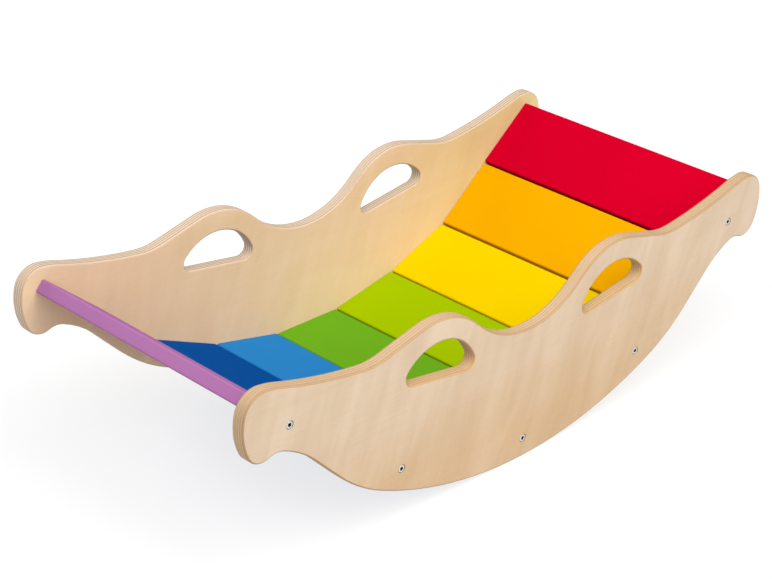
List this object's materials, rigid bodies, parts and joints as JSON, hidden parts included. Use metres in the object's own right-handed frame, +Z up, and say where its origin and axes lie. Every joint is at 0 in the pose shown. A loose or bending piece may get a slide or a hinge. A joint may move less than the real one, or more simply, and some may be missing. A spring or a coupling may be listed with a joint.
{
  "type": "rocker seesaw",
  "caption": "Low rocker seesaw: two curved side panels with hand holes, joined by a trough of painted slat boards, for small children to rock in.",
  "frame": {"origin": "on the floor under the middle of the seesaw, where the runners touch the ground at rest", "axes": "+X along the seesaw towards the red end, +Y across it towards the far side panel, +Z up"},
  "size_m": [0.938, 0.42, 0.2622],
  "materials": {
    "birch_plywood": "clear matt lacquer, layers showing at the edges",
    "lilac_paint": "lilac satin paint over plywood",
    "violet_paint": "violet satin paint over plywood",
    "dark_blue_paint": "dark blue satin paint over plywood",
    "light_blue_paint": "light blue satin paint over plywood",
    "green_paint": "green satin paint over plywood",
    "lime_paint": "lime satin paint over plywood",
    "yellow_paint": "yellow satin paint over plywood",
    "orange_paint": "orange satin paint over plywood",
    "red_paint": "red satin paint over plywood",
    "beech": "plain",
    "zinc_plated_steel": "zinc plated"
  },
  "bodies": {
    "root": {"near_side_panel": "birch_plywood", "far_side_panel": "birch_plywood", "lilac_board": "lilac_paint", "lilac_board_dowels": "beech", "lilac_board_screws": "zinc_plated_steel", "lilac_board_barrel_nuts": "zinc_plated_steel", "violet_board": "violet_paint", "violet_board_dowels": "beech", "dark_blue_board": "dark_blue_paint", "dark_blue_board_dowels": "beech", "dark_blue_board_screws": "zinc_plated_steel", "dark_blue_board_barrel_nuts": "zinc_plated_steel", "light_blue_board": "light_blue_paint", "light_blue_board_dowels": "beech", "green_board": "green_paint", "green_board_dowels": "beech", "green_board_screws": "zinc_plated_steel", "green_board_barrel_nuts": "zinc_plated_steel", "lime_board": "lime_paint", "lime_board_dowels": "beech", "yellow_board": "yellow_paint", "yellow_board_dowels": "beech", "yellow_board_screws": "zinc_plated_steel", "yellow_board_barrel_nuts": "zinc_plated_steel", "orange_board": "orange_paint", "orange_board_dowels": "beech", "red_board": "red_paint", "red_board_dowels": "beech", "red_board_screws": "zinc_plated_steel", "red_board_barrel_nuts": "zinc_plated_steel"}
  },
  "joints": []
}
